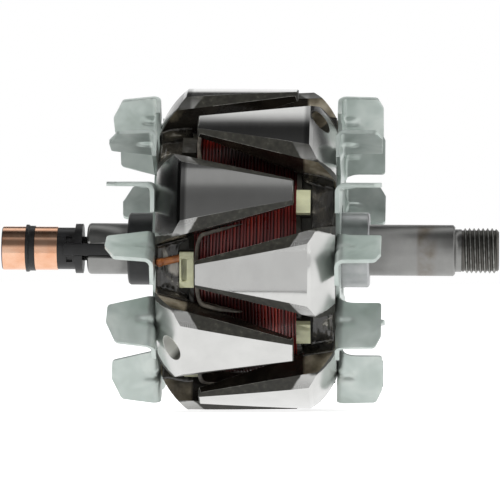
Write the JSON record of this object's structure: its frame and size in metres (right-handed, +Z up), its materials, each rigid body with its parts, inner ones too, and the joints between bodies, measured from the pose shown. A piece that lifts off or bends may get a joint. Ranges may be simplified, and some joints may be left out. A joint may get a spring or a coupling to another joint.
{
  "type": "alternator rotor",
  "caption": "Claw-pole rotor on a stepped shaft, with a field coil between interlocking claws, a bladed fan on each end, slip rings at one end and a pulley thread at the other.",
  "frame": {"origin": "on the shaft's axis, midway between the two ends of the rotor and in the mid-plane of its poles", "axes": "+X along the shaft towards the pulley thread, +Z up, -Y towards the viewer of the picture"},
  "size_m": [0.1656, 0.107, 0.107],
  "materials": {
    "ground_steel": "ground steel with light storage stains",
    "forged_pole_steel": "turned bright outside, dark varnished flanks",
    "natural_nylon": "unfilled cream moulding",
    "enamelled_copper": "dark red enamelled wire under varnish",
    "resin_soaked_film": "brown-black impregnating resin",
    "varnished_sleeve": "orange-brown varnished sleeve",
    "zinc_plated_sheet": "zinc plate with a pale blue-green passivation",
    "black_moulding": "black thermoset moulding",
    "turned_steel": "plain turned steel",
    "slip_ring_copper": "turned copper"
  },
  "bodies": {
    "root": {"shaft": "ground_steel", "slip_ring_end_pole": "forged_pole_steel", "drive_end_pole": "forged_pole_steel", "coil_bobbin": "natural_nylon", "field_winding": "enamelled_copper", "slip_ring_end_insulation": "resin_soaked_film", "drive_end_insulation": "resin_soaked_film", "start_lead": "varnished_sleeve", "finish_lead": "varnished_sleeve", "slip_ring_end_fan": "zinc_plated_sheet", "drive_end_fan": "zinc_plated_sheet", "lead_collar": "black_moulding", "drive_end_spacer": "turned_steel", "slip_ring_moulding": "black_moulding", "outer_slip_ring": "slip_ring_copper", "inner_slip_ring": "slip_ring_copper", "front_lead_channel": "black_moulding", "rear_lead_channel": "black_moulding"}
  },
  "joints": []
}
